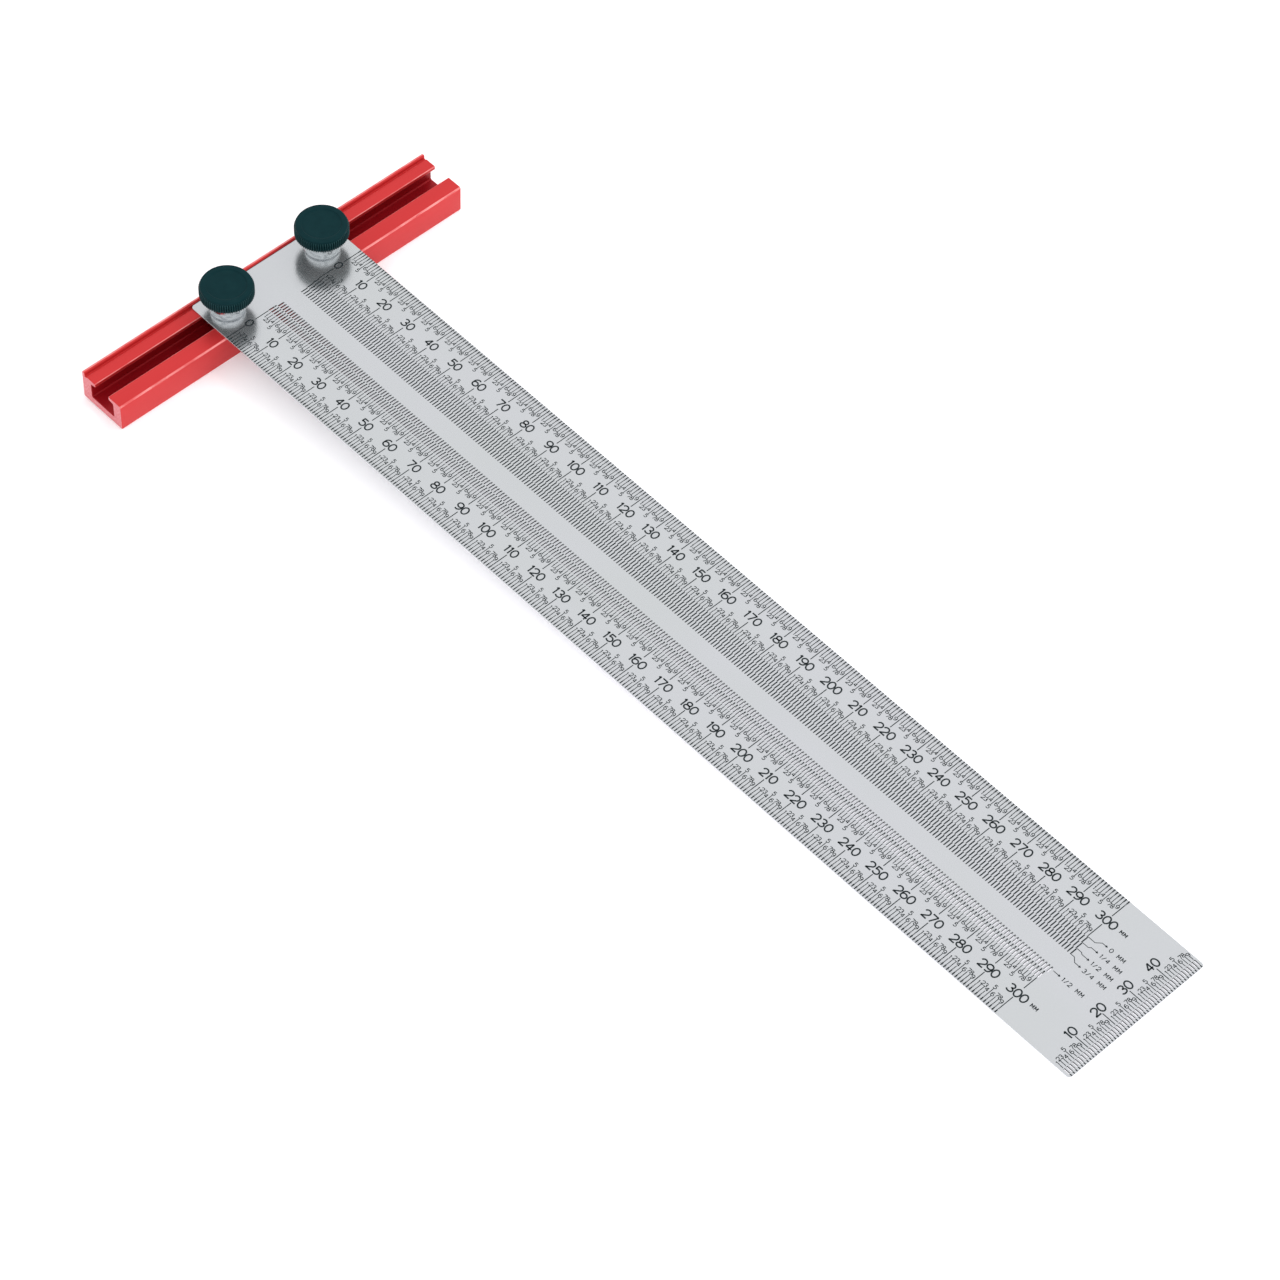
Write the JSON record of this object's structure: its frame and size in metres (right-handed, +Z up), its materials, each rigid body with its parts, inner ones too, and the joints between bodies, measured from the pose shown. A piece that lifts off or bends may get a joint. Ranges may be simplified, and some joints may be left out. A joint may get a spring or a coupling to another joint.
{
  "type": "t square",
  "caption": "Rule-type T square: thin graduated steel blade clamped by thumb screws across a T-slotted aluminium head.",
  "frame": {"origin": "centre of the fence face, the head's front face, which is also the plane of the blade's zero graduations", "axes": "+X along the blade from the head to the tip and out of the fence face, +Y along the head, +Z up through the blade to the knobs"},
  "size_m": [0.343, 0.126, 0.02],
  "materials": {
    "red_anodised": "satin",
    "satin_steel": "satin",
    "bright_steel": "polished",
    "zinc_steel": "satin",
    "knob_plastic": "satin"
  },
  "bodies": {
    "t_head": {"head": "red_anodised"},
    "blade_carriage": {"blade": "satin_steel"},
    "left_screw": {"left_cap": "knob_plastic", "left_collar": "bright_steel", "left_stud": "zinc_steel"},
    "left_nut": {"left_square_nut": "zinc_steel"},
    "right_screw": {"right_cap": "knob_plastic", "right_collar": "bright_steel", "right_stud": "zinc_steel"},
    "right_nut": {"right_square_nut": "zinc_steel"}
  },
  "joints": [
    {"name": "blade_slide", "type": "slide", "parent": "t_head", "child": "blade_carriage", "axis": [0, 1, 0], "range_m": [-0.038, 0.038]},
    {"name": "left_screw_turn", "type": "hinge", "parent": "blade_carriage", "child": "left_screw", "pos_m": [-0.0083, -0.0175, 0.00525], "axis": [0, 0, 1], "range_deg": [0, 720]},
    {"name": "left_nut_drop", "type": "slide", "parent": "blade_carriage", "child": "left_nut", "axis": [0, 0, 1], "range_m": [-0.00161, 0]},
    {"name": "right_screw_turn", "type": "hinge", "parent": "blade_carriage", "child": "right_screw", "pos_m": [-0.0083, 0.0175, 0.00525], "axis": [0, 0, 1], "range_deg": [0, 720]},
    {"name": "right_nut_drop", "type": "slide", "parent": "blade_carriage", "child": "right_nut", "axis": [0, 0, 1], "range_m": [-0.00161, 0]}
  ],
  "couplings": [
    {"joint": "left_nut_drop", "follows": "left_screw_turn", "m_per_rad": -0.00012732},
    {"joint": "right_nut_drop", "follows": "right_screw_turn", "m_per_rad": -0.00012732}
  ]
}
